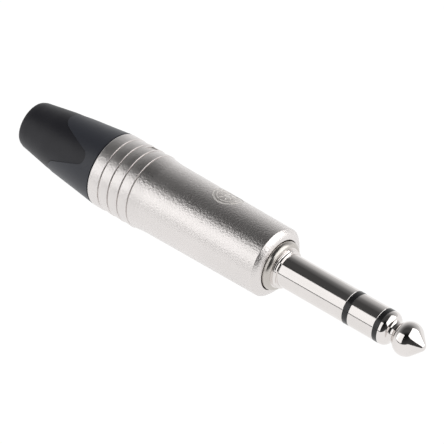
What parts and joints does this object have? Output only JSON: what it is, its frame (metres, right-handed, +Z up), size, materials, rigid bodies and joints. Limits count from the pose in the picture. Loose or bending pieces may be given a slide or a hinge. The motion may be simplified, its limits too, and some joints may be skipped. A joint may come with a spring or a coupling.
{
  "type": "stereo jack plug",
  "caption": "Straight 6.35 mm three-contact phone plug with a one-piece metal barrel and a screw-on cable bushing with a soft three-petal boot.",
  "frame": {"origin": "on the plug's axis at the shoulder where the finger leaves its base collar", "axes": "+X along the axis towards the tip, +Z up as the plug lies"},
  "size_m": [0.0915, 0.0144, 0.0144],
  "materials": {
    "polished_nickel": "polished nickel plate on brass",
    "satin_nickel": "bead-blasted satin nickel plate on brass",
    "tinned_tag": "tinned brass",
    "black_insulator": "black moulded plastic",
    "pale_insulator": "natural nylon",
    "liner_plastic": "dark moulded plastic",
    "chuck_plastic": "dark grey moulded plastic",
    "bushing_plastic": "bluish black moulded plastic, semi-gloss",
    "boot_rubber": "soft dark grey moulded rubber"
  },
  "bodies": {
    "plug": {"tip_contact": "polished_nickel", "ring_contact": "polished_nickel", "sleeve_contact": "polished_nickel", "front_insulating_ring": "black_insulator", "rear_insulating_ring": "black_insulator", "inner_insulating_tube": "pale_insulator", "outer_insulating_tube": "pale_insulator", "front_insulating_washer": "pale_insulator", "rear_insulating_washer": "pale_insulator", "sleeve_terminal": "tinned_tag", "ring_terminal": "tinned_tag", "tip_terminal": "tinned_tag", "insulating_liner": "liner_plastic", "housing": "satin_nickel"},
    "chuck": {"chuck": "chuck_plastic"},
    "boot": {"bushing": "bushing_plastic", "boot": "boot_rubber"}
  },
  "joints": [
    {"name": "chuck_travel", "type": "slide", "parent": "plug", "child": "chuck", "axis": [-1, 0, 0], "range_m": [0, 0.007]},
    {"name": "boot_unscrew", "type": "hinge", "parent": "chuck", "child": "boot", "pos_m": [-0.045, 0, 0], "axis": [-1, 0, 0], "range_deg": [0, 2520.1]}
  ],
  "couplings": [
    {"joint": "boot_unscrew", "follows": "chuck_travel", "rad_per_m": 6283.2}
  ]
}
